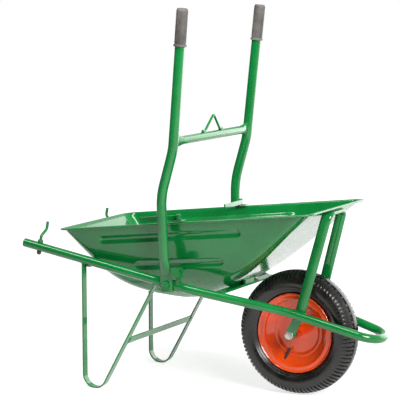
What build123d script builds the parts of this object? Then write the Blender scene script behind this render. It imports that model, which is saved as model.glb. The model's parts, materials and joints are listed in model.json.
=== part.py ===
"""Single-wheel steel wheelbarrow with fold-up handles, in millimetres.

+X is forward, +Z is up, and the near side is -Y. The origin lies on the floor under the
middle of the frame. The handles stand upright, as when the barrow is put away.
"""

import os
from math import asin, atan2, cos, degrees, hypot, radians, sin, sqrt, tan

from build123d import *

os.makedirs("parts", exist_ok=True)

SIDES = {"near": -1, "far": 1}

# Main frame tube
FRAME_LENGTH = 1130.0
FRAME_SPREAD = 424.0
FRAME_TILT = 10.4
TUBE_D = 27.0
TUBE_WALL = 2.0
BEND_AHEAD = 76.0
FRONT_BEND_BEHIND = 4.0
FRONT_BEND_Z = 266.0
FRONT_TILT = 15.0
FRONT_SPLAY = 8.0
FRAME_BEND_R = 120.0
LOOP_R = 64.0
PIVOT_Z = 343.0
SEAT_HEIGHT = 36.0
SEAT_SQUASH = 16.0
SEAT_T = 12.0
SEAT_LENGTH = 44.0
SEAT_NECK = 28.0

# Wheel
AXLE_SETBACK = 284.0
TYRE_D = 380.0
TYRE_WIDTH = 94.0
TYRE_WALL = 7.0
TREAD_WIDTH = 76.0
TREAD_CROWN = 13.0
TREAD_SLOTS = 44
TREAD_SLOT = 5.0
TREAD_DEPTH = 3.0
TREAD_CENTRE = 20.0
RIM_D = 244.0
RIM_LIP = 4.5
RIM_T = 2.5
BEAD_SEAT_D = 206.0
BEAD_SPAN = 62.0
WELL_D = 186.0
WELL_SPAN = 30.0
DISC_D = 132.0
DISC_STEP = 5.0
DISC_LEDGE = 8.0
BEAD_PLAY = 0.3
HUB_D = 34.0
HUB_BORE_D = 24.0
HUB_LENGTH = 96.0
BUSH_LENGTH = 18.0
BUSH_LIP_T = 3.0
BUSH_LIP_D = 30.0
AXLE_D = 12.0
RUN_PLAY = 0.05
END_PLAY = 0.4
INNER_TUBE_D = 60.0
INNER_TUBE_T = 2.5
VALVE_D = 8.0
VALVE_LENGTH = 46.0
VALVE_BORE_D = 3.0
VALVE_ANGLE = 205.0
VALVE_OUT = 15.0

# Handles
PIVOT_SETBACK = 333.0
PIVOT_BOLT_D = 14.0
PIVOT_PLAY = 0.3
HANDLE_D = 30.0
HANDLE_WALL = 2.0
HANDLE_HEIGHT = 1166.0
HANDLE_OUT = 9.2
GRIP_OUT = 21.2
HANDLE_RAKE = -1.2
HANDLE_STEP = 41.0
GRIP_STEP = 40.0
LOW_BEND_Z = 612.0
HIGH_BEND_Z = 752.0
HANDLE_BEND_R = 240.0
EYE_FLAT_WIDTH = 40.0
EYE_FLAT_SQUASH = 10.0
EYE_FLAT_T = 7.0
EYE_FLAT_BELOW = 21.0
EYE_FLAT_ABOVE = 30.0
EYE_NECK = 46.0
CROSSBAR_D = 26.0
CROSSBAR_Z = 777.0
CROSSBAR_FLARE = 42.0
CROSSBAR_PINCH = 13.0
CROSSBAR_NECK = 36.0
WELD_BITE = 1.4
WELD_GAP = 0.1
ROPE_EYE_D = 8.0
ROPE_EYE_WIDTH = 98.0
ROPE_EYE_HEIGHT = 48.0
ROPE_EYE_FOOT = 17.0
ROPE_EYE_BEND_R = 9.0
GRIP_D = 35.0
GRIP_LENGTH = 112.0
GRIP_CAP = 4.0
GRIP_COLLAR_D = 39.0
GRIP_COLLAR_T = 6.0
GRIP_PLAY = 0.1

# Tray
TRAY_REAR_GAP = 131.0
TRAY_NOSE = 120.0
TRAY_SIDE_GAP = 2.0
TRAY_NOSE_RISE = 237.5
TRAY_DEPTH = 248.0
TRAY_TILT = 6.2
TRAY_WALL = 2.0
TRAY_FRONT_RUN = 417.0
TRAY_FLOOR_LENGTH = 130.0
SIDE_RUN_SHARE = 0.705  # how far the sides come in, as a share of the half width
REAR_STRAIGHT = 0.60  # how much of each wall's run is straight
FRONT_STRAIGHT = 0.84
SIDE_STRAIGHT = 0.45
HULL_SHARES = (0.0, 0.25, 0.5, 0.75, 0.9, 1.0)  # depths at which the hull is drawn
ROUNDING = 6  # power of the curve that rounds the walls into the floor
RIM_CORNER_R = 28.0
FLOOR_CORNER_SHARE = 0.86  # of the floor's half width
LIP_WIDTH = 9.0
LIP_BEAD_D = 7.0
RIB_D = 24.0
RIB_SINK = 4.5
UPPER_RIB = (0.167, 0.716, 0.178)  # start and end along the tray and depth, as shares of it
LOWER_RIB = (0.292, 0.619, 0.532)

# Legs, cross members and front stay
LEG_BEHIND_BAR = 11.0
LEG_WIDTH = 22.0
LEG_T = 5.0
LEG_BEND_R = 40.0
LEG_FOOT_FLAT = 0.8
LEG_TOP_SETBACK = 40.0
BRACE_Z = 156.0
BRACE_WIDTH = 22.0
BRACE_T = 5.0
REAR_BAR_BITE = 9.0
REAR_BAR_WIDTH = 24.0
REAR_BAR_T = 6.0
FRONT_BAR_OVER = 10.0
FRONT_BAR_WIDTH = 28.0
FRONT_BAR_T = 6.0
TRAY_TAB_WIDTH = 60.0
TRAY_TAB_T = 8.0
TRAY_TAB_REACH = 70.0
STAY_WIDTH = 33.0
STAY_T = 15.0
STAY_AHEAD = 30.0
STAY_FOOT_Z = 246.0
STAY_INSET = 4.0
STAY_TAPER = 14.0
STAY_BELOW_RIM = 15.0
STAY_BEND_R = 24.0
HANGER_T = 6.0
HANGER_WIDTH = 29.0
HANGER_NECK = 26.0

# Stops, hooks and rim latches
STOP_LENGTH = 30.0
STOP_WIDTH = 26.0
STOP_HEIGHT = 28.0
STOP_RISE = 25.0
STOP_WEB = 12.0
STOP_PLAY = 0.3
HOOK_D = 9.0
HOOK_END_GAP = 55.0
HOOK_RISE = 22.0
HOOK_JOG = 27.0
HOOK_JOG_RISE = 18.0
HOOK_TIP = 24.0
HOOK_BEND_R = 9.0
HOOK_BOSS_D = 17.0
HOOK_BOSS_H = 8.0
HOOK_NUT_H = 8.0
HOOK_PLAY = 0.3
LATCH_AHEAD = 34.0
LATCH_OUT = 2.0
LATCH_PIN_D = 8.0
LATCH_EYE_D = 15.0
LATCH_HEIGHT = 15.0
LATCH_LENGTH = 136.0
LATCH_T = 5.0
LATCH_PLATE_T = 3.0
LATCH_PLATE_LENGTH = 40.0
LATCH_PLATE_WIDTH = 24.0
LATCH_HEAD_D = 13.0
LATCH_HEAD_T = 3.0
NEAR_LATCH_TURN = 0.0
FAR_LATCH_TURN = 92.0

# Fasteners
WASHER_T = 2.0
NUT_SHARE = 0.8  # nut height as a share of the bolt's diameter
FLATS_SHARE = 1.55  # spanner size as a share of the bolt's diameter
WASHER_SHARE = 2.1  # washer diameter as a share of the bolt's diameter
HOLE_PLAY = 0.2
THREAD_SHOW = 3.0
HEX_SIDES = 6

tube_r = TUBE_D / 2
handle_r = HANDLE_D / 2
axle_r = AXLE_D / 2
tilt = radians(FRAME_TILT)
rake = radians(HANDLE_RAKE)
splay = radians(FRONT_SPLAY)
front_tilt = radians(FRONT_TILT)

half_spread = FRAME_SPREAD / 2
axle_x = FRAME_LENGTH / 2 - AXLE_SETBACK
axle_z = TYRE_D / 2
pivot_x = axle_x - PIVOT_SETBACK


def nut_height(bolt_d):
    return NUT_SHARE * bolt_d


def spanner_radius(bolt_d):
    """Radius of the circle inside a nut's flats."""
    return FLATS_SHARE * bolt_d / 2


def washer_radius(bolt_d):
    return WASHER_SHARE * bolt_d / 2


def square_to_y(point, way=1):
    """A plane whose normal runs along Y, with its x pointing forward."""
    return Plane(origin=point, x_dir=(1, 0, 0), z_dir=(0, way, 0))


# The rear halves of the frame tubes lie in one tilted plane through both handle pivots.
rear_plane = Plane(
    origin=(pivot_x, 0, PIVOT_Z),
    x_dir=(cos(tilt), 0, -sin(tilt)),
    z_dir=(sin(tilt), 0, cos(tilt)),
)
rear_u = (tube_r * sin(tilt) - FRAME_LENGTH / 2 - pivot_x) / cos(tilt)

# The loop round the wheel lies in a steeper plane through both front bends.
front_bend_x = axle_x - FRONT_BEND_BEHIND
front_plane = Plane(
    origin=(front_bend_x, 0, FRONT_BEND_Z),
    x_dir=(cos(front_tilt), 0, -sin(front_tilt)),
    z_dir=(sin(front_tilt), 0, cos(front_tilt)),
)
loop_u = (FRAME_LENGTH / 2 - tube_r - front_bend_x) / cos(front_tilt)
apex_u = loop_u + LOOP_R / sin(splay) - LOOP_R


def on_rear(side, u, above=0.0):
    """A point over a rear tube's centre line, u along the tube from the pivot."""
    return rear_plane.from_local_coords((u, side * half_spread, above))


def across_rear(side, u):
    """A plane across a rear tube: z runs forward along it and x points up."""
    return Plane(origin=on_rear(side, u), x_dir=rear_plane.z_dir, z_dir=rear_plane.x_dir)


def front_half(u):
    """Half the distance between the front tubes' centre lines, u ahead of the front bends."""
    return (apex_u - u) * tan(splay)


def frame_corners(side):
    """Rear end, pivot bend and front bend of one side of the frame."""
    front_bend = front_plane.from_local_coords((0, side * front_half(0), 0))
    return [on_rear(side, rear_u), on_rear(side, BEND_AHEAD), front_bend]


seat_half = SEAT_LENGTH / 2
neck_end = seat_half + SEAT_NECK
seat_offset = tube_r - SEAT_T / 2
seat_out = half_spread + tube_r
seat_in = seat_out - SEAT_T
hook_u = rear_u + HOOK_END_GAP

# Main frame: one tube bent round the wheel, squashed flat where the handles pivot.
with BuildPart() as frame_tube:
    with BuildLine() as frame_path:
        FilletPolyline(
            *frame_corners(-1),
            front_plane.from_local_coords((apex_u, 0, 0)),
            *reversed(frame_corners(1)),
            radius=[FRAME_BEND_R, FRAME_BEND_R, LOOP_R, FRAME_BEND_R, FRAME_BEND_R],
        )
    with BuildSketch(frame_path.line ^ 0):
        Circle(tube_r)
    sweep()
    for side in SIDES.values():
        at_pivot = across_rear(side, 0)
        with BuildSketch(at_pivot.offset(-neck_end)):
            Circle(TUBE_D)
        extrude(amount=2 * neck_end, mode=Mode.SUBTRACT)
        # local y of the plane across the tube runs the other way from Y
        squash = (0, side * seat_offset * at_pivot.y_dir.Y)
        for end in (-1, 1):
            with BuildSketch(at_pivot.offset(end * neck_end)):
                Circle(tube_r)
            with BuildSketch(at_pivot.offset(end * seat_half)):
                with Locations(squash):
                    Ellipse(SEAT_HEIGHT / 2, SEAT_SQUASH / 2)
            loft()
        with BuildSketch(at_pivot.offset(-seat_half)):
            with Locations(squash):
                Ellipse(SEAT_HEIGHT / 2, SEAT_SQUASH / 2)
        extrude(amount=SEAT_LENGTH)
        for face, y, length in ((1, seat_out, 2 * neck_end), (-1, seat_in, SEAT_LENGTH)):
            with BuildSketch(Plane((pivot_x, side * y, PIVOT_Z), rear_plane.x_dir, (0, side * face, 0))):
                Rectangle(length, 2 * SEAT_HEIGHT)
            extrude(amount=SEAT_SQUASH, mode=Mode.SUBTRACT)
        with BuildSketch(square_to_y((pivot_x, side * seat_out, PIVOT_Z))):
            Circle(PIVOT_BOLT_D / 2 + HOLE_PLAY)
        extrude(amount=TUBE_D, both=True, mode=Mode.SUBTRACT)
        with BuildSketch(across_rear(side, rear_u)):
            Circle(tube_r - TUBE_WALL)
        extrude(amount=-rear_u - neck_end - TUBE_WALL, mode=Mode.SUBTRACT)
        with BuildSketch(Plane(on_rear(side, hook_u), z_dir=rear_plane.z_dir)):
            Circle(HOOK_D / 2 + RUN_PLAY)
        extrude(amount=TUBE_D, both=True, mode=Mode.SUBTRACT)
frame_tube.part.label = "frame_tube"
export_step(frame_tube.part, "parts/frame_tube.step")

# Tray hull: rounded rectangles on planes parallel to the rim, shrinking to the floor.
tray_tilt = radians(TRAY_TILT)
tray_rear_x = TRAY_REAR_GAP - FRAME_LENGTH / 2
nose_x = axle_x + TRAY_NOSE
tray_rear_z = PIVOT_Z + TRAY_NOSE_RISE - (nose_x - tray_rear_x) * tan(tray_tilt)
tray_length = (nose_x - tray_rear_x) / cos(tray_tilt)
tray_half = half_spread - TRAY_SIDE_GAP
rear_run = tray_length - TRAY_FRONT_RUN - TRAY_FLOOR_LENGTH
side_run = SIDE_RUN_SHARE * tray_half
floor_corner = FLOOR_CORNER_SHARE * (tray_half - side_run)
rim_plane = Plane(
    origin=(tray_rear_x, 0, tray_rear_z),
    x_dir=(cos(tray_tilt), 0, sin(tray_tilt)),
    z_dir=(-sin(tray_tilt), 0, cos(tray_tilt)),
)


def wall_run(share, straight):
    """How far a wall has come in at a share of the depth: straight at first, then rounding."""
    return straight * share + (1 - straight) * share**ROUNDING


def hull_section(share, inset):
    """Rear end, front end, half width and corner radius of the hull at a share of its depth."""
    rear = rear_run * wall_run(share, REAR_STRAIGHT) + inset
    front = tray_length - TRAY_FRONT_RUN * wall_run(share, FRONT_STRAIGHT) - inset
    half = tray_half - side_run * wall_run(share, SIDE_STRAIGHT) - inset
    corner = RIM_CORNER_R + (floor_corner - RIM_CORNER_R) * share - inset
    return rear, front, half, corner


def hull_shape(depth, inset):
    """The hull's solid, as deep as asked and drawn in by the wall where asked."""
    with BuildPart() as shape:
        for share in HULL_SHARES:
            rear, front, half, corner = hull_section(share, inset)
            with BuildSketch(rim_plane.offset(-share * depth)):
                with Locations(((rear + front) / 2, 0)):
                    RectangleRounded(front - rear, 2 * half, corner)
        loft()
    return shape.part


def rib_bars(radius):
    """Round-ended bars along both side walls, where the stiffening ribs are pressed in."""
    bars = []
    for start, end, share in (UPPER_RIB, LOWER_RIB):
        for side in SIDES.values():
            y = side * (hull_section(share, 0)[2] + RIB_D / 2 - RIB_SINK)
            first = rim_plane.from_local_coords((start * tray_length, y, -share * TRAY_DEPTH))
            last = rim_plane.from_local_coords((end * tray_length, y, -share * TRAY_DEPTH))
            with BuildPart() as bar:
                with BuildSketch(Plane(first, z_dir=rim_plane.x_dir)):
                    Circle(radius)
                extrude(amount=(end - start) * tray_length)
                with Locations(first, last):
                    Sphere(radius)
            bars.append(bar.part)
    return bars


hull = hull_shape(TRAY_DEPTH, 0)
lip_plane = Plane(
    rim_plane.from_local_coords((tray_length / 2, 0, 0)), rim_plane.x_dir, rim_plane.z_dir
)
lip_size = (tray_length + 2 * LIP_WIDTH, 2 * tray_half + 2 * LIP_WIDTH)

with BuildSketch(lip_plane.offset(-LIP_BEAD_D / 2)) as bead_outline:
    RectangleRounded(*lip_size, RIM_CORNER_R + LIP_WIDTH)
bead_path = bead_outline.sketch.face().outer_wire()

with BuildPart() as tray_hollow:
    add(hull_shape(TRAY_DEPTH - TRAY_WALL, TRAY_WALL))
    add(rib_bars(RIB_D / 2 + TRAY_WALL), mode=Mode.SUBTRACT)

# Tray: one pressed sheet with sunk ribs, a flat lip and a rolled bead.
with BuildPart() as tray:
    add(hull)
    add(tray_hollow.part, mode=Mode.SUBTRACT)
    add(rib_bars(RIB_D / 2), mode=Mode.SUBTRACT)
    with BuildSketch(lip_plane):
        RectangleRounded(*lip_size, RIM_CORNER_R + LIP_WIDTH)
        RectangleRounded(
            tray_length - TRAY_WALL, 2 * tray_half - TRAY_WALL, RIM_CORNER_R, mode=Mode.SUBTRACT
        )
    extrude(amount=-TRAY_WALL)
    with BuildSketch(Plane(bead_path @ 0, z_dir=bead_path % 0)):
        Circle(LIP_BEAD_D / 2)
    sweep(path=bead_path)
tray.part.label = "tray"
export_step(tray.part, "parts/tray.step")

# The rear bar lies where the tubes' undersides pass the tray's rear wall, just ahead of the posts.
wall_slope = rear_run * REAR_STRAIGHT / TRAY_DEPTH
wall_back = wall_slope * cos(tray_tilt) + sin(tray_tilt)
wall_down = cos(tray_tilt) - wall_slope * sin(tray_tilt)
bar_drop = (tube_r + REAR_BAR_T / 2) / cos(tilt)
bar_depth = (tray_rear_z - PIVOT_Z - (pivot_x - tray_rear_x) * tan(tilt) + bar_drop) / (
    wall_down - wall_back * tan(tilt)
)
rear_bar_x = tray_rear_x + bar_depth * wall_back + REAR_BAR_BITE - REAR_BAR_WIDTH / 2
post_x = rear_bar_x - LEG_BEHIND_BAR

# Legs: flat bar bent round the foot, standing in the plane of each frame tube.
post_top = on_rear(1, (post_x - pivot_x) / cos(tilt))
leg_top = on_rear(1, -LEG_TOP_SETBACK / cos(tilt))
foot_z = LEG_BEND_R + LEG_T / 2 - LEG_FOOT_FLAT
foot_x = post_x + LEG_BEND_R
foot_to_top = hypot(leg_top.X - foot_x, leg_top.Z - foot_z)
slant = atan2(leg_top.Z - foot_z, leg_top.X - foot_x) + asin(LEG_BEND_R / foot_to_top)
for name, side in SIDES.items():
    with BuildPart() as leg:
        with BuildLine(square_to_y((0, side * half_spread, 0), -1)) as leg_path:
            post = Line((post_x, post_top.Z), (post_x, foot_z))
            foot = JernArc(post @ 1, (0, -1), LEG_BEND_R, 90 + degrees(slant))
            Line(foot @ 1, (leg_top.X, leg_top.Z))
        with BuildSketch(Plane(post @ 0, x_dir=(0, 1, 0), z_dir=(0, 0, -1))):
            Rectangle(LEG_WIDTH, LEG_T)
        sweep()
        split(bisect_by=Plane.XY, keep=Keep.TOP)
        add(frame_tube.part, mode=Mode.SUBTRACT)
        with BuildSketch(across_rear(side, rear_u)):
            Circle(tube_r - TUBE_WALL / 2)
        extrude(amount=-rear_u - neck_end, mode=Mode.SUBTRACT)
    leg.part.label = f"{name}_leg"
    export_step(leg.part, f"parts/{name}_leg.step")

# Brace between the legs, in line with their slanted halves.
brace_x = leg_top.X - (leg_top.Z - BRACE_Z) / tan(slant)
slanted = Plane((brace_x, 0, BRACE_Z), x_dir=(cos(slant), 0, sin(slant)), z_dir=(0, 1, 0))
with BuildPart() as leg_brace:
    with BuildSketch(slanted):
        Rectangle(BRACE_WIDTH, BRACE_T)
    extrude(amount=half_spread - LEG_WIDTH / 2, both=True)
leg_brace.part.label = "leg_brace"
export_step(leg_brace.part, "parts/leg_brace.step")

# Rear bar: flat bar between the tops of the legs, which the tray's rear wall rests on.
rear_bar_at = on_rear(1, (rear_bar_x - pivot_x) / cos(tilt), -tube_r - REAR_BAR_T / 2)
with BuildPart() as rear_bar:
    with BuildSketch(Plane((rear_bar_at.X, 0, rear_bar_at.Z), rear_plane.x_dir, (0, 1, 0))):
        Rectangle(REAR_BAR_WIDTH, REAR_BAR_T)
    extrude(amount=half_spread - LEG_WIDTH / 2, both=True)
    add(hull, mode=Mode.SUBTRACT)
rear_bar.part.label = "rear_bar"
export_step(rear_bar.part, "parts/rear_bar.step")

# Front bar: flat bar across the converging tubes, with a tab up to the tray's front wall.
middle_run = Vector(*frame_corners(1)[2]) - frame_corners(1)[1]
front_bar_x = axle_x - TYRE_D / 2 + FRONT_BAR_OVER
front_bar_share = (front_bar_x - frame_corners(1)[1].X) / middle_run.X
front_bar_at = frame_corners(1)[1] + middle_run * front_bar_share
front_bar_z = front_bar_at.Z + tube_r
with BuildPart() as front_bar:
    with BuildSketch(Plane((front_bar_at.X, 0, front_bar_z), (1, 0, 0), (0, 1, 0))):
        Rectangle(FRONT_BAR_WIDTH, FRONT_BAR_T)
    extrude(amount=front_bar_at.Y, both=True)
    add(frame_tube.part, mode=Mode.SUBTRACT)
front_bar.part.label = "front_bar"
export_step(front_bar.part, "parts/front_bar.step")

with BuildPart() as tray_tab:
    with BuildSketch(Plane.XY.offset(front_bar_z + FRONT_BAR_T / 2)):
        with Locations((front_bar_at.X + (FRONT_BAR_WIDTH - TRAY_TAB_T) / 2, 0)):
            Rectangle(TRAY_TAB_T, TRAY_TAB_WIDTH)
    extrude(amount=TRAY_TAB_REACH)
    add(hull, mode=Mode.SUBTRACT)
tray_tab.part.label = "tray_tab"
export_step(tray_tab.part, "parts/tray_tab.step")

# Front stay: squashed tube bent over under the tray's lip, with flat ends down to the axle.
stay_foot_x = axle_x + STAY_AHEAD
stay_share = (stay_foot_x - front_bend_x) / cos(front_tilt)
stay_y = front_half(stay_share) - tube_r / cos(splay) - STAY_T / 2
stay_top_x = nose_x - STAY_INSET
stay_top_y = stay_y - STAY_TAPER
stay_top_z = tray_rear_z + (stay_top_x - tray_rear_x) * tan(tray_tilt) - STAY_BELOW_RIM
stay_up = Vector(stay_top_x - stay_foot_x, 0, stay_top_z - STAY_FOOT_Z).normalized()
hanger_down = Vector(axle_x - stay_foot_x, 0, axle_z - STAY_FOOT_Z).normalized()
with BuildPart() as front_stay:
    with BuildLine() as stay_path:
        FilletPolyline(
            (stay_foot_x, -stay_y, STAY_FOOT_Z),
            (stay_top_x, -stay_top_y, stay_top_z),
            (stay_top_x, stay_top_y, stay_top_z),
            (stay_foot_x, stay_y, STAY_FOOT_Z),
            radius=STAY_BEND_R,
        )
    with BuildSketch(Plane(stay_path.line @ 0, x_dir=(0, 1, 0), z_dir=stay_up)):
        Ellipse(STAY_T / 2, STAY_WIDTH / 2)
    sweep()
    for side in SIDES.values():
        foot_at = Vector(stay_foot_x, side * stay_y, STAY_FOOT_Z)
        neck_at = foot_at + hanger_down * HANGER_NECK
        with BuildSketch(Plane(foot_at, x_dir=(0, 1, 0), z_dir=stay_up)):
            Ellipse(STAY_T / 2, STAY_WIDTH / 2)
        with BuildSketch(Plane(neck_at, x_dir=(0, 1, 0), z_dir=-hanger_down)):
            Rectangle(HANGER_T, HANGER_WIDTH)
        loft()
        with BuildSketch(Plane((axle_x, side * stay_y, axle_z), -hanger_down, (0, 1, 0))):
            Circle(HANGER_WIDTH / 2)
            with Locations(((neck_at - Vector(axle_x, side * stay_y, axle_z)).length / 2, 0)):
                Rectangle((neck_at - Vector(axle_x, side * stay_y, axle_z)).length, HANGER_WIDTH)
            Circle(axle_r + HOLE_PLAY, mode=Mode.SUBTRACT)
        extrude(amount=HANGER_T / 2, both=True)
    add(hull, mode=Mode.SUBTRACT)
    add(frame_tube.part, mode=Mode.SUBTRACT)
front_stay.part.label = "front_stay"
export_step(front_stay.part, "parts/front_stay.step")

# Handles: bent tubes, squashed onto their inner side where they pivot on the frame.
handle_y = seat_out + PIVOT_PLAY + handle_r
handle_flat = seat_out + PIVOT_PLAY + EYE_FLAT_T / 2
handle_dir = Vector(sin(rake), 0, cos(rake))
across_handle = Vector(cos(rake), 0, -sin(rake))
bend_x = pivot_x + (LOW_BEND_Z - PIVOT_Z) * tan(rake)
neck_z = PIVOT_Z + (EYE_FLAT_ABOVE + EYE_NECK) * cos(rake)


def handle_points(side):
    """Neck, two bends and top end of a handle's centre line."""
    neck = (pivot_x + (neck_z - PIVOT_Z) * tan(rake), side * handle_y, neck_z)
    low = (bend_x, side * (handle_y + HANDLE_OUT), LOW_BEND_Z)
    high = (bend_x + HANDLE_STEP, side * (handle_y + HANDLE_OUT), HIGH_BEND_Z)
    top = (bend_x + HANDLE_STEP + GRIP_STEP, side * (handle_y + GRIP_OUT), HANDLE_HEIGHT)
    return [Vector(*point) for point in (neck, low, high, top)]


handle_outsides = []
for name, side in SIDES.items():
    neck, low, high, top = handle_points(side)
    flat_at = Vector(pivot_x, side * handle_flat, PIVOT_Z)
    with BuildPart() as handle:
        with BuildLine() as handle_path:
            FilletPolyline(neck, low, high, top, radius=HANDLE_BEND_R)
        with BuildPart(mode=Mode.PRIVATE) as outside:
            with BuildSketch(Plane(neck, x_dir=(1, 0, 0), z_dir=handle_path.line % 0)):
                Circle(handle_r)
            sweep(path=handle_path.line)
        handle_outsides.append(outside.part)
        with BuildSketch(Plane(neck, x_dir=(1, 0, 0), z_dir=handle_path.line % 0)):
            Circle(handle_r)
            Circle(handle_r - HANDLE_WALL, mode=Mode.SUBTRACT)
        sweep()
        with BuildSketch(Plane(neck, x_dir=(1, 0, 0), z_dir=handle_path.line % 0)):
            Circle(handle_r)
        flat_top = Plane(flat_at + handle_dir * EYE_FLAT_ABOVE, across_handle, handle_dir)
        with BuildSketch(flat_top):
            Ellipse(EYE_FLAT_WIDTH / 2, EYE_FLAT_SQUASH / 2)
        loft()
        with BuildSketch(flat_top):
            Ellipse(EYE_FLAT_WIDTH / 2, EYE_FLAT_SQUASH / 2)
        extrude(amount=-EYE_FLAT_ABOVE - EYE_FLAT_BELOW)
        for face, reach in ((1, EYE_FLAT_ABOVE), (-1, EYE_FLAT_ABOVE + EYE_NECK)):
            y = handle_flat + face * EYE_FLAT_T / 2
            with BuildSketch(Plane((pivot_x, side * y, PIVOT_Z), across_handle, (0, side * face, 0))):
                Rectangle(2 * EYE_FLAT_WIDTH, 2 * reach)
            extrude(amount=EYE_FLAT_SQUASH, mode=Mode.SUBTRACT)
        with BuildSketch(square_to_y(flat_at)):
            Circle(PIVOT_BOLT_D / 2 + RUN_PLAY)
        extrude(amount=EYE_FLAT_SQUASH, both=True, mode=Mode.SUBTRACT)
    handle.part.label = f"{name}_handle"
    export_step(handle.part, f"parts/{name}_handle.step")

# Crossbar between the handles, pinched and flared where it is welded to them.
bar_share = (CROSSBAR_Z - HIGH_BEND_Z) / (HANDLE_HEIGHT - HIGH_BEND_Z)
bar_at = handle_points(1)[2] + (handle_points(1)[3] - handle_points(1)[2]) * bar_share
up_handle = Vector(GRIP_STEP, 0, HANDLE_HEIGHT - HIGH_BEND_Z).normalized()
bar_end = bar_at.Y - handle_r + WELD_BITE
bar_round = bar_end - CROSSBAR_NECK
with BuildPart() as handle_crossbar:
    for side in SIDES.values():
        with BuildSketch(Plane((bar_at.X, side * bar_round, bar_at.Z), up_handle, (0, side, 0))):
            Circle(CROSSBAR_D / 2)
        with BuildSketch(Plane((bar_at.X, side * bar_end, bar_at.Z), up_handle, (0, side, 0))):
            Ellipse(CROSSBAR_FLARE / 2, CROSSBAR_PINCH / 2)
        loft()
    with BuildSketch(Plane((bar_at.X, 0, bar_at.Z), up_handle, (0, 1, 0))):
        Circle(CROSSBAR_D / 2)
    extrude(amount=bar_round, both=True)
    add(handle_outsides, mode=Mode.SUBTRACT)
handle_crossbar.part.label = "handle_crossbar"
export_step(handle_crossbar.part, "parts/handle_crossbar.step")

# Rope eye: a bent rod standing on the middle of the crossbar.
eye_foot = Vector(bar_at.X, 0, bar_at.Z) + up_handle * (CROSSBAR_D / 2 + ROPE_EYE_D / 2 + WELD_GAP)
with BuildPart() as rope_eye:
    with BuildLine(Plane(eye_foot, x_dir=(0, 1, 0), z_dir=(up_handle.Z, 0, -up_handle.X))) as eye_path:
        FilletPolyline(
            (-ROPE_EYE_WIDTH / 2 - ROPE_EYE_FOOT, 0),
            (-ROPE_EYE_WIDTH / 2, 0),
            (0, ROPE_EYE_HEIGHT),
            (ROPE_EYE_WIDTH / 2, 0),
            (ROPE_EYE_WIDTH / 2 + ROPE_EYE_FOOT, 0),
            radius=ROPE_EYE_BEND_R,
        )
    with BuildSketch(eye_path.line ^ 0):
        Circle(ROPE_EYE_D / 2)
    sweep()
rope_eye.part.label = "rope_eye"
export_step(rope_eye.part, "parts/rope_eye.step")

# Grips: closed sleeves with a collar at the lower end.
for name, side in SIDES.items():
    neck, low, high, top = handle_points(side)
    along = (top - high).normalized()
    with BuildPart() as grip:
        sleeve_foot = Plane(top - along * (GRIP_LENGTH - GRIP_CAP), x_dir=(1, 0, 0), z_dir=along)
        with BuildSketch(sleeve_foot):
            Circle(GRIP_D / 2)
        extrude(amount=GRIP_LENGTH)
        fillet(grip.edges().group_by(Axis.Z)[-1], GRIP_CAP - GRIP_PLAY)
        with BuildSketch(sleeve_foot):
            Circle(GRIP_COLLAR_D / 2)
        extrude(amount=GRIP_COLLAR_T)
        with BuildSketch(sleeve_foot):
            Circle(handle_r + GRIP_PLAY)
        extrude(amount=GRIP_LENGTH - GRIP_CAP + GRIP_PLAY, mode=Mode.SUBTRACT)
    grip.part.label = f"{name}_grip"
    export_step(grip.part, f"parts/{name}_grip.step")

# Wheel: every round piece is a profile of radius and Y, turned about the axle.
wheel_plane = Plane((axle_x, 0, axle_z), x_dir=(0, 0, 1), z_dir=(-1, 0, 0))
axle_axis = Axis((axle_x, 0, axle_z), (0, 1, 0))
bead_r = BEAD_SEAT_D / 2
bead_out = BEAD_SPAN / 2
rim_r = RIM_D / 2
flange_top = rim_r - RIM_LIP
tyre_r = TYRE_D / 2
shoulder_r = tyre_r - TREAD_CROWN
belly_r = (rim_r + shoulder_r) / 2
tread_half = TREAD_WIDTH / 2
belly_half = TYRE_WIDTH / 2

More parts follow.
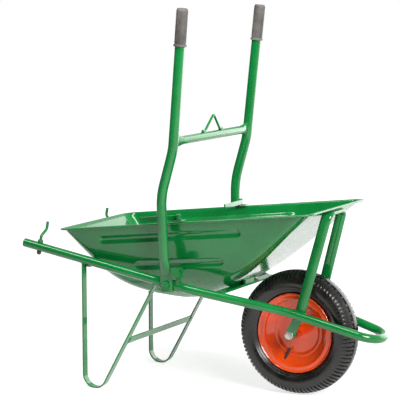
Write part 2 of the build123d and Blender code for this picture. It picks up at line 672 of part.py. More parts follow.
# Tyre: bead on the rim, bulging sidewalls and a crowned tread, open inside for the tube.
with BuildPart() as tyre:
    with BuildSketch(wheel_plane):
        with BuildLine():
            foot_out = bead_out - BEAD_PLAY
            seat_r = bead_r + BEAD_PLAY
            inner_foot = foot_out - TYRE_WALL
            Line((seat_r, foot_out), (rim_r, foot_out))
            ThreePointArc((rim_r, foot_out), (belly_r, belly_half), (shoulder_r, tread_half))
            ThreePointArc((shoulder_r, tread_half), (tyre_r, 0), (shoulder_r, -tread_half))
            ThreePointArc((shoulder_r, -tread_half), (belly_r, -belly_half), (rim_r, -foot_out))
            Line((rim_r, -foot_out), (seat_r, -foot_out))
            Line((seat_r, -foot_out), (seat_r, -inner_foot))
            inner_shoulder = (shoulder_r - TYRE_WALL, tread_half - TYRE_WALL)
            Line((seat_r, -inner_foot), (rim_r, -inner_foot))
            ThreePointArc(
                (rim_r, -inner_foot),
                (belly_r, TYRE_WALL - belly_half),
                (inner_shoulder[0], -inner_shoulder[1]),
            )
            ThreePointArc(
                (inner_shoulder[0], -inner_shoulder[1]), (tyre_r - TYRE_WALL, 0), inner_shoulder
            )
            ThreePointArc(inner_shoulder, (belly_r, belly_half - TYRE_WALL), (rim_r, inner_foot))
            Line((rim_r, inner_foot), (seat_r, inner_foot))
            Line((seat_r, inner_foot), (seat_r, foot_out))
        make_face()
    revolve(axis=axle_axis)
    for side in SIDES.values():
        with BuildPart(mode=Mode.PRIVATE) as slot:
            with BuildSketch(wheel_plane):
                with BuildLine():
                    Polyline(
                        (tyre_r - TREAD_DEPTH, side * TREAD_CENTRE / 2),
                        (shoulder_r - TREAD_DEPTH, side * tread_half),
                        (shoulder_r - TREAD_DEPTH, side * belly_half),
                        (tyre_r + TREAD_DEPTH, side * belly_half),
                        (tyre_r + TREAD_DEPTH, side * TREAD_CENTRE / 2),
                        close=True,
                    )
                make_face()
            extrude(amount=TREAD_SLOT / 2, both=True)
        turns = range(TREAD_SLOTS)
        stagger = (side + 1) / 2 / 2
        add(
            [slot.part.rotate(axle_axis, 360 * (turn + stagger) / TREAD_SLOTS) for turn in turns],
            mode=Mode.SUBTRACT,
        )
tyre.part.label = "tyre"
export_step(tyre.part, "parts/tyre.step")

# Rim: two pressed halves back to back, each a stepped dish with a rolled flange.
valve_way = Vector(sin(radians(VALVE_ANGLE)), 0, cos(radians(VALVE_ANGLE)))
valve_tip = Vector(axle_x, -VALVE_OUT, axle_z) + valve_way * (bead_r - VALVE_LENGTH)
valve_plane = Plane(valve_tip, x_dir=(0, 1, 0), z_dir=valve_way)
for name, side in SIDES.items():
    with BuildPart() as rim_half:
        with BuildSketch(wheel_plane):
            with BuildLine():
                dish = Polyline(
                    (HUB_D / 2, 0),
                    (DISC_D / 2, 0),
                    (DISC_D / 2 + DISC_STEP, side * DISC_STEP),
                    (DISC_D / 2 + DISC_STEP + DISC_LEDGE, side * DISC_STEP),
                    (WELL_D / 2, side * WELL_SPAN / 2),
                    (bead_r, side * WELL_SPAN / 2 + side * (bead_r - WELL_D / 2) / 2),
                    (bead_r, side * bead_out),
                    (flange_top, side * bead_out),
                    (rim_r, side * (bead_out + RIM_LIP)),
                )
                offset(dish, RIM_T, side=Side.LEFT if side > 0 else Side.RIGHT, closed=True)
            make_face()
        revolve(axis=axle_axis)
        if side < 0:
            with BuildSketch(valve_plane):
                Circle(VALVE_D / 2 + HOLE_PLAY)
            extrude(amount=VALVE_LENGTH, mode=Mode.SUBTRACT)
    rim_half.part.label = f"{name}_rim_half"
    export_step(rim_half.part, f"parts/{name}_rim_half.step")

# Inner tube and its valve, which comes out through the near half of the rim.
tube_ring_r = tyre_r - TYRE_WALL - BEAD_PLAY - INNER_TUBE_D / 2
tube_skin_r = tube_ring_r - sqrt((INNER_TUBE_D / 2) ** 2 - (VALVE_OUT + VALVE_D / 2) ** 2)
valve_reach = tube_skin_r - bead_r + VALVE_LENGTH
with BuildPart() as inner_tube:
    with BuildSketch(wheel_plane):
        with Locations((tube_ring_r, 0)):
            Circle(INNER_TUBE_D / 2)
            Circle(INNER_TUBE_D / 2 - INNER_TUBE_T, mode=Mode.SUBTRACT)
    revolve(axis=axle_axis)
    with BuildSketch(valve_plane):
        Circle(VALVE_BORE_D / 2)
    extrude(amount=valve_reach + INNER_TUBE_T * 2, mode=Mode.SUBTRACT)
inner_tube.part.label = "inner_tube"
export_step(inner_tube.part, "parts/inner_tube.step")

with BuildPart() as valve:
    with BuildSketch(valve_plane):
        Circle(VALVE_D / 2)
    extrude(amount=valve_reach)
    with BuildSketch(wheel_plane):
        with Locations((tube_ring_r, 0)):
            Circle(INNER_TUBE_D / 2)
    revolve(axis=axle_axis, mode=Mode.SUBTRACT)
valve.part.label = "valve"
export_step(valve.part, "parts/valve.step")

# Hub and its bushes, whose lips stand proud of the hub's ends.
hub_half = HUB_LENGTH / 2
lip_out = hub_half + BUSH_LIP_T
with BuildPart() as hub:
    with BuildSketch(square_to_y((axle_x, 0, axle_z))):
        Circle(HUB_D / 2)
        Circle(HUB_BORE_D / 2, mode=Mode.SUBTRACT)
    extrude(amount=hub_half, both=True)
hub.part.label = "hub"
export_step(hub.part, "parts/hub.step")

with BuildPart() as hub_bushes:
    for side in SIDES.values():
        with BuildSketch(square_to_y((axle_x, side * hub_half, axle_z), side)):
            Circle(BUSH_LIP_D / 2)
            Circle(axle_r + RUN_PLAY, mode=Mode.SUBTRACT)
        extrude(amount=BUSH_LIP_T)
        with BuildSketch(square_to_y((axle_x, side * hub_half, axle_z), side)):
            Circle(HUB_BORE_D / 2)
            Circle(axle_r + RUN_PLAY, mode=Mode.SUBTRACT)
        extrude(amount=-BUSH_LENGTH)
hub_bushes.part.label = "hub_bushes"
export_step(hub_bushes.part, "parts/hub_bushes.step")

# Axle: a bolt through both hangers, with spacers inside them and washers outside.
hanger_in = stay_y - HANGER_T / 2
hanger_out = stay_y + HANGER_T / 2
nut_face = hanger_out + WASHER_T
nut_end = nut_face + nut_height(AXLE_D)
with BuildPart() as axle_spacers:
    for side in SIDES.values():
        with BuildSketch(square_to_y((axle_x, side * hanger_in, axle_z), -side)):
            Circle(BUSH_LIP_D / 2)
            Circle(axle_r + HOLE_PLAY, mode=Mode.SUBTRACT)
        extrude(amount=hanger_in - lip_out - END_PLAY)
axle_spacers.part.label = "axle_spacers"
export_step(axle_spacers.part, "parts/axle_spacers.step")

with BuildPart() as axle_washers:
    for side in SIDES.values():
        with BuildSketch(square_to_y((axle_x, side * hanger_out, axle_z), side)):
            Circle(washer_radius(AXLE_D))
            Circle(axle_r + HOLE_PLAY, mode=Mode.SUBTRACT)
        extrude(amount=WASHER_T)
axle_washers.part.label = "axle_washers"
export_step(axle_washers.part, "parts/axle_washers.step")

with BuildPart() as axle_bolt:
    with BuildSketch(square_to_y((axle_x, nut_face, axle_z), -1)):
        Circle(axle_r)
    extrude(amount=nut_face + nut_end + THREAD_SHOW)
    with BuildSketch(square_to_y((axle_x, nut_face, axle_z))):
        RegularPolygon(spanner_radius(AXLE_D), HEX_SIDES, major_radius=False)
    extrude(amount=nut_height(AXLE_D))
axle_bolt.part.label = "axle_bolt"
export_step(axle_bolt.part, "parts/axle_bolt.step")

with BuildPart() as axle_nut:
    with BuildSketch(square_to_y((axle_x, -nut_face, axle_z), -1)):
        RegularPolygon(spanner_radius(AXLE_D), HEX_SIDES, major_radius=False)
        Circle(axle_r + HOLE_PLAY, mode=Mode.SUBTRACT)
    extrude(amount=nut_height(AXLE_D))
axle_nut.part.label = "axle_nut"
export_step(axle_nut.part, "parts/axle_nut.step")

# Pivot bolts: head inside the frame tube, washer and nut outside the handle.
pivot_washer_y = seat_out + PIVOT_PLAY + EYE_FLAT_T + PIVOT_PLAY
pivot_nut_y = pivot_washer_y + WASHER_T
with BuildPart() as pivot_bolts:
    for side in SIDES.values():
        with BuildSketch(square_to_y((pivot_x, side * seat_in, PIVOT_Z), side)):
            Circle(PIVOT_BOLT_D / 2)
        extrude(amount=pivot_nut_y - seat_in + nut_height(PIVOT_BOLT_D) + THREAD_SHOW)
        with BuildSketch(square_to_y((pivot_x, side * seat_in, PIVOT_Z), -side)):
            RegularPolygon(spanner_radius(PIVOT_BOLT_D), HEX_SIDES, major_radius=False)
        extrude(amount=nut_height(PIVOT_BOLT_D))
pivot_bolts.part.label = "pivot_bolts"
export_step(pivot_bolts.part, "parts/pivot_bolts.step")

with BuildPart() as pivot_washers:
    for side in SIDES.values():
        with BuildSketch(square_to_y((pivot_x, side * pivot_washer_y, PIVOT_Z), side)):
            Circle(washer_radius(PIVOT_BOLT_D))
            Circle(PIVOT_BOLT_D / 2 + HOLE_PLAY, mode=Mode.SUBTRACT)
        extrude(amount=WASHER_T)
pivot_washers.part.label = "pivot_washers"
export_step(pivot_washers.part, "parts/pivot_washers.step")

with BuildPart() as pivot_nuts:
    for side in SIDES.values():
        with BuildSketch(square_to_y((pivot_x, side * pivot_nut_y, PIVOT_Z), side)):
            RegularPolygon(spanner_radius(PIVOT_BOLT_D), HEX_SIDES, major_radius=False)
            Circle(PIVOT_BOLT_D / 2 + HOLE_PLAY, mode=Mode.SUBTRACT)
        extrude(amount=nut_height(PIVOT_BOLT_D))
pivot_nuts.part.label = "pivot_nuts"
export_step(pivot_nuts.part, "parts/pivot_nuts.step")

# Stops: a block on a web, just ahead of each upright handle.
handle_floor = Plane((pivot_x, 0, PIVOT_Z), across_handle, handle_dir)
stop_x = EYE_FLAT_WIDTH / 2 + STOP_PLAY + STOP_LENGTH / 2
for name, side in SIDES.items():
    with BuildPart() as stop:
        with BuildSketch(handle_floor.offset(STOP_RISE)):
            with Locations((stop_x, side * handle_flat)):
                Rectangle(STOP_LENGTH, STOP_WIDTH)
        extrude(amount=STOP_HEIGHT)
        with BuildSketch(handle_floor):
            with Locations((stop_x, side * (seat_in + seat_out) / 2)):
                Rectangle(STOP_WEB, SEAT_T)
        extrude(amount=STOP_RISE)
        add(frame_tube.part, mode=Mode.SUBTRACT)
    stop.part.label = f"{name}_stop"
    export_step(stop.part, f"parts/{name}_stop.step")

# Hooks: bent rods that turn in the rear ends of the frame tubes and reach over the crossbar.
hook_foot = tube_r + HOOK_PLAY
jog_foot = tube_r + HOOK_RISE
jog_top = jog_foot + HOOK_JOG_RISE
for name, side in SIDES.items():
    hook_at = on_rear(side, hook_u)
    tube_normal = Plane(hook_at, z_dir=rear_plane.z_dir)
    with BuildPart() as hook:
        with BuildLine(Plane(hook_at, (0, -side, 0), rear_plane.x_dir * -side)) as hook_path:
            FilletPolyline(
                (0, -hook_foot - HOOK_NUT_H - THREAD_SHOW),
                (0, jog_foot),
                (HOOK_JOG, jog_top),
                (HOOK_JOG, jog_top + HOOK_TIP),
                radius=HOOK_BEND_R,
            )
        with BuildSketch(hook_path.line ^ 0):
            Circle(HOOK_D / 2)
        sweep()
        with BuildSketch(tube_normal.offset(hook_foot)):
            Circle(HOOK_BOSS_D / 2)
        extrude(amount=HOOK_BOSS_H)
    hook.part.label = f"{name}_hook"
    export_step(hook.part, f"parts/{name}_hook.step")

    with BuildPart() as hook_nut:
        with BuildSketch(tube_normal.offset(-hook_foot)):
            RegularPolygon(spanner_radius(HOOK_D), HEX_SIDES, major_radius=False)
            Circle(HOOK_D / 2 + HOLE_PLAY, mode=Mode.SUBTRACT)
        extrude(amount=-HOOK_NUT_H)
    hook_nut.part.label = f"{name}_hook_nut"
    export_step(hook_nut.part, f"parts/{name}_hook_nut.step")

# Rim latches: an arm with a rolled eye on a pin, on a plate on the tray's lip.
latch_x = (pivot_x + LATCH_AHEAD - tray_rear_x) / cos(tray_tilt)
latch_y = tray_half + LATCH_OUT
latch_foot = LATCH_PLATE_T + PIVOT_PLAY
latch_turns = {"near": NEAR_LATCH_TURN, "far": FAR_LATCH_TURN}
for name, side in SIDES.items():
    pin_plane = Plane(
        rim_plane.from_local_coords((latch_x, side * latch_y, 0)), rim_plane.x_dir, rim_plane.z_dir
    )
    with BuildPart() as latch_pin:
        with BuildSketch(pin_plane):
            Rectangle(LATCH_PLATE_LENGTH, LATCH_PLATE_WIDTH)
        extrude(amount=LATCH_PLATE_T)
        with BuildSketch(pin_plane.offset(LATCH_PLATE_T)):
            Circle(LATCH_PIN_D / 2)
        extrude(amount=LATCH_HEIGHT + 2 * PIVOT_PLAY)
        with BuildSketch(pin_plane.offset(latch_foot + LATCH_HEIGHT + PIVOT_PLAY)):
            Circle(LATCH_HEAD_D / 2)
        extrude(amount=LATCH_HEAD_T)
    latch_pin.part.label = f"{name}_latch_pin"
    export_step(latch_pin.part, f"parts/{name}_latch_pin.step")

    turn = radians(latch_turns[name])
    arm_dir = rim_plane.x_dir * -cos(turn) - rim_plane.y_dir * side * sin(turn)
    with BuildPart() as latch_arm:
        with BuildSketch(Plane(pin_plane.offset(latch_foot).origin, arm_dir, rim_plane.z_dir)):
            Circle(LATCH_EYE_D / 2)
            with Locations((LATCH_LENGTH / 2, side * (LATCH_EYE_D - LATCH_T) / 2)):
                Rectangle(LATCH_LENGTH, LATCH_T)
            Circle(LATCH_PIN_D / 2 + RUN_PLAY, mode=Mode.SUBTRACT)
        extrude(amount=LATCH_HEIGHT)
    latch_arm.part.label = f"{name}_latch_arm"
    export_step(latch_arm.part, f"parts/{name}_latch_arm.step")
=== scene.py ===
"""A folding-handle wheelbarrow, dressed in gloss paint, rubber and zinc."""

import json
from math import atan2, cos, pi, radians, sin, sqrt, tan

import bmesh
import bpy
from mathutils import Matrix, Vector, noise


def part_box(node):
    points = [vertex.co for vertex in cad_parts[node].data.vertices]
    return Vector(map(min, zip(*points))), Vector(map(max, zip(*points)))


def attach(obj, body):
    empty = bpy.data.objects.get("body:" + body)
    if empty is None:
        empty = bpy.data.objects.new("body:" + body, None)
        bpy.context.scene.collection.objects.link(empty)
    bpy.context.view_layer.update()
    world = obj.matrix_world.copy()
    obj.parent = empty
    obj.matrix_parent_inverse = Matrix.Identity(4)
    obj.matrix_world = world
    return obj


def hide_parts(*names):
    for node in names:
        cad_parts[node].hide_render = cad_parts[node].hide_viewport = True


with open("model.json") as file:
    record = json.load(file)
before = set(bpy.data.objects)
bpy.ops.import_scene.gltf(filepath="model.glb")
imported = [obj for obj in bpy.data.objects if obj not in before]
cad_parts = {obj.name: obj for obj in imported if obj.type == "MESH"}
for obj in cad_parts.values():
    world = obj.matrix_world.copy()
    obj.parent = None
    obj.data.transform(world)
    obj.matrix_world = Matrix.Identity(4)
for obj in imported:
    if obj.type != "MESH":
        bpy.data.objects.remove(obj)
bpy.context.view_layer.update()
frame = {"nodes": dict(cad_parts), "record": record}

# Main frame tube: one length of round steel tube, bent round the wheel and squashed flat at the
# handle pivots. It is sprayed in gloss green enamel after welding, so every bracket, bar and
# stay that is welded to it shares the same skin of paint.
node_body = {
    node: body
    for body, nodes in frame["record"]["behaviour"]["bodies"].items()
    for node in nodes
}


def new_material(name):
    """A node material, with its tree, its shader and the object coordinates it is laid by."""
    material = bpy.data.materials.new(name)
    material.use_nodes = True
    tree = material.node_tree
    shader = tree.nodes["Principled BSDF"]
    place = tree.nodes.new("ShaderNodeTexCoord").outputs["Object"]
    return material, tree, shader, place


def add_noise(tree, place, scale, detail=4.0, roughness=0.55):
    """Noise over the surface, as a value from about 0.25 to 0.75."""
    node = tree.nodes.new("ShaderNodeTexNoise")
    node.inputs["Scale"].default_value = scale
    node.inputs["Detail"].default_value = detail
    node.inputs["Roughness"].default_value = roughness
    tree.links.new(place, node.inputs["Vector"])
    return node.outputs["Fac"]


def add_range(tree, value, low, high, out_low, out_high):
    """Maps a value's range to another, clamped."""
    node = tree.nodes.new("ShaderNodeMapRange")
    for name, number in (
        ("From Min", low), ("From Max", high), ("To Min", out_low), ("To Max", out_high)
    ):
        node.inputs[name].default_value = number
    tree.links.new(value, node.inputs["Value"])
    return node.outputs["Result"]


def add_mix(tree, factor, first, second):
    """Blends two colours, each a colour or another node's output."""
    node = tree.nodes.new("ShaderNodeMix")
    node.data_type = "RGBA"
    tree.links.new(factor, node.inputs["Factor"])
    for socket, colour in ((node.inputs["A"], first), (node.inputs["B"], second)):
        if isinstance(colour, tuple):
            socket.default_value = (*colour, 1.0)
        else:
            tree.links.new(colour, socket)
    return node.outputs["Result"]


def add_bump(tree, shader, height, strength, distance, below=None):
    """Bump from a height, over another bump where there is one."""
    node = tree.nodes.new("ShaderNodeBump")
    node.inputs["Strength"].default_value = strength
    node.inputs["Distance"].default_value = distance
    tree.links.new(height, node.inputs["Height"])
    if below:
        tree.links.new(below, node.inputs["Normal"])
    tree.links.new(node.outputs["Normal"], shader.inputs["Normal"])
    return node.outputs["Normal"]


def gloss_enamel(name, deep, bright, dusty, haze):
    """Sprayed enamel: slow drifts of shade, dull dust spots, a haze and a fine orange peel."""
    material, tree, shader, place = new_material(name)
    drift = add_noise(tree, place, scale=7.0, detail=3.0)
    shade = add_mix(tree, add_range(tree, drift, 0.35, 0.65, 0.0, 1.0), deep, bright)
    dust = add_noise(tree, place, scale=260.0, detail=2.0, roughness=0.4)
    specks = add_range(tree, dust, 0.68, 0.74, 0.0, 0.5)
    tree.links.new(add_mix(tree, specks, shade, dusty), shader.inputs["Base Color"])
    film = add_noise(tree, place, scale=24.0, detail=5.0)
    tree.links.new(add_range(tree, film, 0.3, 0.7, 0.2, 0.34), shader.inputs["Roughness"])
    flow = add_noise(tree, place, scale=45.0, detail=2.0)
    ripple = add_bump(tree, shader, flow, strength=0.08, distance=0.001)
    peel = add_noise(tree, place, scale=600.0, detail=2.0)
    add_bump(tree, shader, peel, strength=0.05, distance=0.0001, below=ripple)
    shader.inputs["Specular IOR Level"].default_value = 0.1
    shader.inputs["Coat Weight"].default_value = 1.0
    shader.inputs["Coat IOR"].default_value = 1.5
    shader.inputs["Coat Roughness"].default_value = haze
    return material


GREENS = (0.001, 0.172, 0.030), (0.003, 0.225, 0.045), (0.03, 0.28, 0.10)
green_enamel = gloss_enamel("green_enamel", *GREENS, haze=0.04)

WELD_GAP = 0.00002  # points nearer than this are one point
CREASE = radians(32)  # a sharper fold than this keeps its edge
FLAT = radians(0.4)  # faces that turn less than this are one face


def shade_by_angle(shell):
    """Smooth faces, with hard edges only where the sheet or bar really folds."""
    for face in shell.faces:
        face.smooth = True
    for edge in shell.edges:
        edge.smooth = len(edge.link_faces) == 2 and edge.calc_face_angle(0.0) < CREASE


def finish_mesh(name, shell, material):
    """Turns a mesh in the making into an object of the scene."""
    mesh = bpy.data.meshes.new(name)
    shell.to_mesh(mesh)
    shell.free()
    mesh.materials.append(material)
    piece = bpy.data.objects.new(name, mesh)
    bpy.context.scene.collection.objects.link(piece)
    return piece


def stand_for(piece, node):
    """The piece takes a solid's place and body."""
    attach(piece, node_body[node])
    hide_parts(node)
    return piece


def dress(node, material, rounding=0.0):
    """A solid's own shape with smooth shading, and its edges rounded off where asked."""
    shell = bmesh.new()
    shell.from_mesh(frame["nodes"][node].data)
    bmesh.ops.remove_doubles(shell, verts=shell.verts, dist=WELD_GAP)
    bmesh.ops.dissolve_limit(shell, angle_limit=FLAT, verts=shell.verts, edges=shell.edges)
    shade_by_angle(shell)
    piece = finish_mesh(f"{node}_skin", shell, material)
    if rounding:
        bevel = piece.modifiers.new("rounded_edges", "BEVEL")
        bevel.width = rounding
        bevel.segments = 2
        bevel.limit_method = "ANGLE"
        bevel.angle_limit = CREASE
        bevel.harden_normals = True
    return stand_for(piece, node)


dress("frame_tube", green_enamel)

# Legs and cross members: flat steel bar, sheared, bent cold round the foot and welded between
# the frame tubes. The bar's edges are slightly rounded, and its cut ends are left square.
FLAT_BAR_EDGE = 0.0008
for node in ("near_leg", "far_leg", "leg_brace", "rear_bar", "front_bar", "tray_tab"):
    dress(node, green_enamel, FLAT_BAR_EDGE)

# Tray: one deep-drawn sheet of thin steel with a rolled rim. Two stiffening grooves are pressed
# into each side, and the metal is left puckered near the rim, most of all round the corners,
# where the press gathers it.
tray_tilt = radians(6.2)
TRAY_REAR_X, TRAY_REAR_Z = -0.434, 0.4898
TRAY_LENGTH, TRAY_WIDTH, TRAY_DEPTH = 0.840, 0.420, 0.248
REAR_RUN, FRONT_RUN, SIDE_RUN = 0.2929, 0.417, 0.148
REAR_STRAIGHT, FRONT_STRAIGHT, SIDE_STRAIGHT = 0.60, 0.84, 0.45
RIM_CORNER, FLOOR_CORNER = 0.028, 0.0533
SHEET = 0.002
LIP = 0.0080
BEAD_R = 0.0048
BEAD_START, BEAD_SWEEP, BEAD_STEPS = -200, 290, 12  # degrees round the rolled edge
LIP_UNDERSIDE = ((0.006, 0.002), (0.003, 0.002), (0.001, 0.0026))  # out from the wall, and down
WALL_TOP = 0.005
FINE_STEP, WALL_STEP = 0.0022, 0.007
FLOOR_RINGS = (1.0, 0.85, 0.65, 0.45, 0.25, 0.1)
FLOOR_ROUNDING = 6
GROOVES = ((0.044, 0.140, 0.601), (0.132, 0.245, 0.520))  # depth, and both ends, of each groove
GROOVE_HALF = 0.0155
GROOVE_SINK = 0.0066
PUCKER_PITCH = 0.016
PUCKER_REACH, PUCKER_HEIGHT = 0.045, 0.00004
CORNER_REACH, CORNER_HEIGHT, CORNER_RUN = 0.05, 0.0003, 0.05  # what a corner adds to them
PUCKER_STRAY, PUCKER_STRAY_SCALE = 2.5, 30
tray_axes = Matrix((
    (cos(tray_tilt), 0, -sin(tray_tilt), TRAY_REAR_X),
    (0, 1, 0, 0),
    (sin(tray_tilt), 0, cos(tray_tilt), TRAY_REAR_Z),
    (0, 0, 0, 1),
))


def wall_run(share, straight):
    """How far a wall has come in at a share of the depth."""
    return straight * share + (1 - straight) * share**FLOOR_ROUNDING


def rounded_outline(rear, front, half, corner):
    """Points round a rounded rectangle, each with its outward direction, as many every time."""
    LONG, SHORT, TURN = 200, 76, 13
    points = []
    corners = (
        (front - corner, -half + corner, -90, LONG),
        (front - corner, half - corner, 0, SHORT),
        (rear + corner, half - corner, 90, LONG),
        (rear + corner, -half + corner, 180, SHORT),
    )
    for index, (x, y, start, steps) in enumerate(corners):
        before = corners[index - 1]
        out = Vector((cos(radians(start)), sin(radians(start)), 0))
        last = Vector((before[0], before[1], 0)) + out * corner
        first = Vector((x, y, 0)) + out * corner
        points += [(last.lerp(first, step / steps), out) for step in range(1, steps)]
        for step in range(TURN + 1):
            angle = radians(start + 90 * step / TURN)
            out = Vector((cos(angle), sin(angle), 0))
            points.append((Vector((x, y, 0)) + out * corner, out))
    return points


def tray_ring(share):
    """The tray's outline at a share of its depth."""
    rear = REAR_RUN * wall_run(share, REAR_STRAIGHT)
    front = TRAY_LENGTH - FRONT_RUN * wall_run(share, FRONT_STRAIGHT)
    half = TRAY_WIDTH / 2 - SIDE_RUN * wall_run(share, SIDE_STRAIGHT)
    corner = RIM_CORNER + (FLOOR_CORNER - RIM_CORNER) * share
    return rounded_outline(rear, front, half, corner)


def groove_sink(depth, point):
    """How far the pressed grooves push a point of the side wall in."""
    sink = 0.0
    for groove_depth, start, end in GROOVES:
        past = max(start - point.x, point.x - end, 0.0)
        away = sqrt(past**2 + (depth - groove_depth) ** 2) / GROOVE_HALF
        if away < 1:
            sink = GROOVE_SINK * (0.5 + 0.5 * cos(pi * away)) ** 0.7
    return sink


def pucker(depth, point, out):
    """Fine standing waves that the press leaves near the rim, deeper round the corners."""
    turning = 4 * (out.x * out.y) ** 2
    along = point.x * abs(out.y) + point.y * abs(out.x)
    along += CORNER_RUN * atan2(out.y, out.x) * turning
    fade = max(0.0, 1 - depth / (PUCKER_REACH + CORNER_REACH * turning))
    stray = PUCKER_STRAY * noise.noise(point * PUCKER_STRAY_SCALE)
    wave = sin(2 * pi * along / PUCKER_PITCH + stray)
    return fade * wave * (PUCKER_HEIGHT + CORNER_HEIGHT * turning)


rim_outline = tray_ring(0.0)
tray_shell = bmesh.new()
rings = []
inner_r = BEAD_R - SHEET
for step in range(BEAD_STEPS + 1):
    angle = radians(BEAD_START + BEAD_SWEEP * step / BEAD_STEPS)
    rings.append([
        point + out * (LIP + inner_r * cos(angle)) + Vector((0, 0, inner_r * sin(angle) - BEAD_R))
        for point, out in rim_outline
    ])
for away, drop in LIP_UNDERSIDE:
    rings.append([point + out * away - Vector((0, 0, drop)) for point, out in rim_outline])
depth = WALL_TOP
while depth < TRAY_DEPTH:
    ring = []
    for point, out in tray_ring(depth / TRAY_DEPTH):
        push = pucker(depth, point, out)
        if abs(out.y) > 0.99:
            push -= groove_sink(depth, point)
        ring.append(point + out * push - Vector((0, 0, depth)))
    rings.append(ring)
    near_groove = min(abs(depth - groove[0]) for groove in GROOVES)
    depth += FINE_STEP if near_groove < GROOVE_HALF * 1.2 else WALL_STEP
floor_ring = [point for point, out in tray_ring(1.0)]
floor_middle = sum(floor_ring, Vector()) / len(floor_ring)
for scale in FLOOR_RINGS:
    rings.append([
        floor_middle.lerp(point, scale) - Vector((0, 0, TRAY_DEPTH)) for point in floor_ring
    ])
rows = [[tray_shell.verts.new(tray_axes @ point) for point in ring] for ring in rings]
count = len(rim_outline)
for upper, lower in zip(rows, rows[1:]):
    for index in range(count):
        after = (index + 1) % count
        tray_shell.faces.new((upper[index], lower[index], lower[after], upper[after]))
bottom = tray_shell.verts.new(tray_axes @ (floor_middle - Vector((0, 0, TRAY_DEPTH))))
for index in range(count):
    tray_shell.faces.new((rows[-1][index], bottom, rows[-1][(index + 1) % count]))
bmesh.ops.recalc_face_normals(tray_shell, faces=tray_shell.faces)
for face in tray_shell.faces:
    face.smooth = True
sheet_enamel = gloss_enamel("sheet_enamel", *GREENS, haze=0.1)
tray = finish_mesh("tray_sheet", tray_shell, sheet_enamel)
thickness = tray.modifiers.new("sheet", "SOLIDIFY")
thickness.thickness = SHEET
thickness.offset = -1.0
stand_for(tray, "tray")

# Front stay: a tube squashed oval, bent over under the tray's lip and flattened at both ends,
# where it hangs down inside the frame tubes to hold the axle. It is welded to both tubes.
dress("front_stay", green_enamel)

# Handles: round tube, squashed flat at the pivots and welded to a crossbar whose own ends are
# pinched and flared. A bent rod on the crossbar makes an eye for a rope or a lifting hook.
for node in ("near_handle", "far_handle", "handle_crossbar", "rope_eye"):
    dress(node, green_enamel)

# Grips: moulded rubber sleeves, pushed over the tube ends, with fine ridges along them and
# a plain collar at the lower end. The rubber is grey and dull from dust.
grip_rubber, tree, shader, place = new_material("grip_rubber")
GRIP_GREY, GRIP_DUST = (0.100, 0.093, 0.086), (0.180, 0.168, 0.154)
patches = add_noise(tree, place, scale=30.0, detail=5.0)
grime = add_range(tree, patches, 0.35, 0.65, 0.0, 1.0)
tree.links.new(add_mix(tree, grime, GRIP_GREY, GRIP_DUST), shader.inputs["Base Color"])
tree.links.new(add_range(tree, grime, 0.0, 1.0, 0.5, 0.72), shader.inputs["Roughness"])
grain = add_noise(tree, place, scale=900.0, detail=3.0)
add_bump(tree, shader, grain, strength=0.2, distance=0.0003)


def repeat_round_tree():
    """Copies of one piece, evenly round the Z axis."""
    group = bpy.data.node_groups.new("repeat_round", "GeometryNodeTree")
    sockets = {}
    for name, kind in (
        ("Geometry", "Geometry"), ("Piece", "Object"), ("Count", "Int"), ("Start", "Float"),
        ("Material", "Material"),
    ):
        sockets[name] = group.interface.new_socket(
            name, in_out="INPUT", socket_type=f"NodeSocket{kind}"
        ).identifier
    group.interface.new_socket("Geometry", in_out="OUTPUT", socket_type="NodeSocketGeometry")
    add = group.nodes.new
    inputs = add("NodeGroupInput").outputs
    points = add("GeometryNodePoints")
    step = add("ShaderNodeMath")
    step.operation = "DIVIDE"
    step.inputs[0].default_value = 2 * pi
    angle = add("ShaderNodeMath")
    angle.operation = "MULTIPLY_ADD"
    turn = add("ShaderNodeCombineXYZ")
    spin = add("FunctionNodeEulerToRotation")
    source = add("GeometryNodeObjectInfo")
    copies = add("GeometryNodeInstanceOnPoints")
    realize = add("GeometryNodeRealizeInstances")
    paint = add("GeometryNodeSetMaterial")
    output = add("NodeGroupOutput").inputs
    for start, end in (
        (inputs["Count"], points.inputs["Count"]),
        (inputs["Count"], step.inputs[1]),
        (add("GeometryNodeInputIndex").outputs["Index"], angle.inputs[0]),
        (step.outputs["Value"], angle.inputs[1]),
        (inputs["Start"], angle.inputs[2]),
        (angle.outputs["Value"], turn.inputs["Z"]),
        (turn.outputs["Vector"], spin.inputs["Euler"]),
        (inputs["Piece"], source.inputs["Object"]),
        (points.outputs["Points"], copies.inputs["Points"]),
        (source.outputs["Geometry"], copies.inputs["Instance"]),
        (spin.outputs["Rotation"], copies.inputs["Rotation"]),
        (copies.outputs["Instances"], realize.inputs["Geometry"]),
        (realize.outputs["Geometry"], paint.inputs["Geometry"]),
        (inputs["Material"], paint.inputs["Material"]),
        (paint.outputs["Geometry"], output["Geometry"]),
    ):
        group.links.new(start, end)
    return group, sockets


def evaluate_tree(owner, group, values):
    """Runs a tree on an object and gives back its result as a plain mesh."""
    modifier = owner.modifiers.new(group.name, "NODES")
    modifier.node_group = group
    for identifier, value in values.items():
        modifier[identifier] = value
    evaluated = owner.evaluated_get(bpy.context.evaluated_depsgraph_get())
    mesh = bpy.data.meshes.new_from_object(evaluated)
    owner.modifiers.remove(modifier)
    bpy.data.objects.remove(owner)
    return mesh


repeat_round, round_sockets = repeat_round_tree()


def repeated_round(template_shell, count, start, material):
    """The mesh of a piece repeated round the Z axis."""
    template = finish_mesh("template", template_shell, material)
    owner = finish_mesh("carrier", bmesh.new(), material)
    mesh = evaluate_tree(owner, repeat_round, {
        round_sockets["Piece"]: template,
        round_sockets["Count"]: count,
        round_sockets["Start"]: start,
        round_sockets["Material"]: material,
    })
    bpy.data.objects.remove(template)
    return mesh


